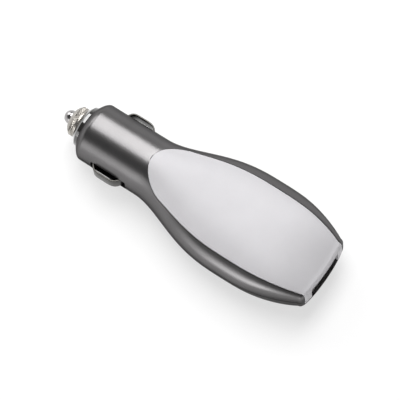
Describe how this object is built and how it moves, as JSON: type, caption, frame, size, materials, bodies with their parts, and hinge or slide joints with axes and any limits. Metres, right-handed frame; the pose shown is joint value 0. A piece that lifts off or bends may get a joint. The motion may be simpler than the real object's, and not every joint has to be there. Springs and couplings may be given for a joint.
{
  "type": "car usb charger plug",
  "caption": "Car USB charger plug with a sprung pin in a knurled screw cap, sprung side clips, and a flared flat handle with an inlaid cover plate and a USB port in its end.",
  "frame": {"origin": "on the barrel's axis at the front edge of its straight land, where the nose cone begins", "axes": "+X runs along the barrel from the pin to the USB port, +Z points out of the cover plate, +Y completes a right-handed frame and points at the left clip"},
  "size_m": [0.1015, 0.0372, 0.0209],
  "materials": {
    "housing": "satin metallic gunmetal lacquer on moulded plastic",
    "cover_plate": "satin silver lacquer on moulded plastic",
    "collar": "polished black moulding",
    "cap_nickel": "knurled and nickel plated",
    "bush_nylon": "natural nylon",
    "pin_chrome": "polished plating on steel",
    "fuse_tube": "clear tube",
    "fuse_caps": "tinned",
    "spring_steel": "drawn spring wire",
    "contact_brass": "stamped sheet",
    "clip_nickel": "nickel plated spring strip",
    "board": "green solder mask on glass fibre laminate",
    "usb_steel": "folded tinned sheet",
    "usb_plastic": "black moulding",
    "ferrite": "pressed ferrite",
    "copper": "enamelled copper wire",
    "capacitor_sleeve": "shrunk sleeve",
    "chip_plastic": "moulded package",
    "chip_ceramic": "fired ceramic",
    "positive_insulation": "soft insulation",
    "ground_insulation": "soft insulation",
    "screw_steel": "zinc plated"
  },
  "bodies": {
    "housing": {"top_housing": "housing", "bottom_housing": "housing", "top_plate": "cover_plate", "nose_collar": "collar", "fuse_spring": "spring_steel", "spring_terminal": "contact_brass", "circuit_board": "board", "usb_shell": "usb_steel", "usb_tongue": "usb_plastic", "usb_contacts": "contact_brass", "inductor_core": "ferrite", "inductor_winding": "copper", "input_capacitor": "capacitor_sleeve", "output_capacitor": "capacitor_sleeve", "controller_chip": "chip_plastic", "rectifier_diode": "chip_plastic", "chip_resistors": "chip_ceramic", "positive_wire": "positive_insulation", "left_ground_wire": "ground_insulation", "right_ground_wire": "ground_insulation", "housing_screws": "screw_steel"},
    "bush": {"guide_bush": "bush_nylon"},
    "cap": {"screw_cap": "cap_nickel"},
    "pin": {"contact_pin": "pin_chrome", "fuse_glass": "fuse_tube", "fuse_front_cap": "fuse_caps", "fuse_rear_cap": "fuse_caps", "fuse_wire": "fuse_caps"},
    "left_clip": {"left_ground_clip": "clip_nickel"},
    "right_clip": {"right_ground_clip": "clip_nickel"}
  },
  "joints": [
    {"name": "cap_draw", "type": "slide", "parent": "housing", "child": "bush", "axis": [-1, 0, 0], "range_m": [0, 0.0016]},
    {"name": "cap_turn", "type": "hinge", "parent": "bush", "child": "cap", "pos_m": [-0.007, 0, 0], "axis": [-1, 0, 0], "range_deg": [0, 720]},
    {"name": "pin_press", "type": "slide", "parent": "bush", "child": "pin", "axis": [1, 0, 0], "range_m": [0, 0.0025], "stiffness_N_per_m": 400, "springref_m": -0.002, "deforming": ["fuse_spring"]},
    {"name": "left_clip_flex", "type": "hinge", "parent": "housing", "child": "left_clip", "pos_m": [0.0214, 0.00765, 0], "axis": [0, 0, 1], "range_deg": [0, 8], "stiffness_Nm_per_rad": 0.02, "springref_deg": -5.73},
    {"name": "right_clip_flex", "type": "hinge", "parent": "housing", "child": "right_clip", "pos_m": [0.0214, -0.00765, 0], "axis": [0, 0, -1], "range_deg": [0, 8], "stiffness_Nm_per_rad": 0.02, "springref_deg": -5.73}
  ],
  "couplings": [
    {"joint": "cap_turn", "follows": "cap_draw", "rad_per_m": 7853.9}
  ]
}
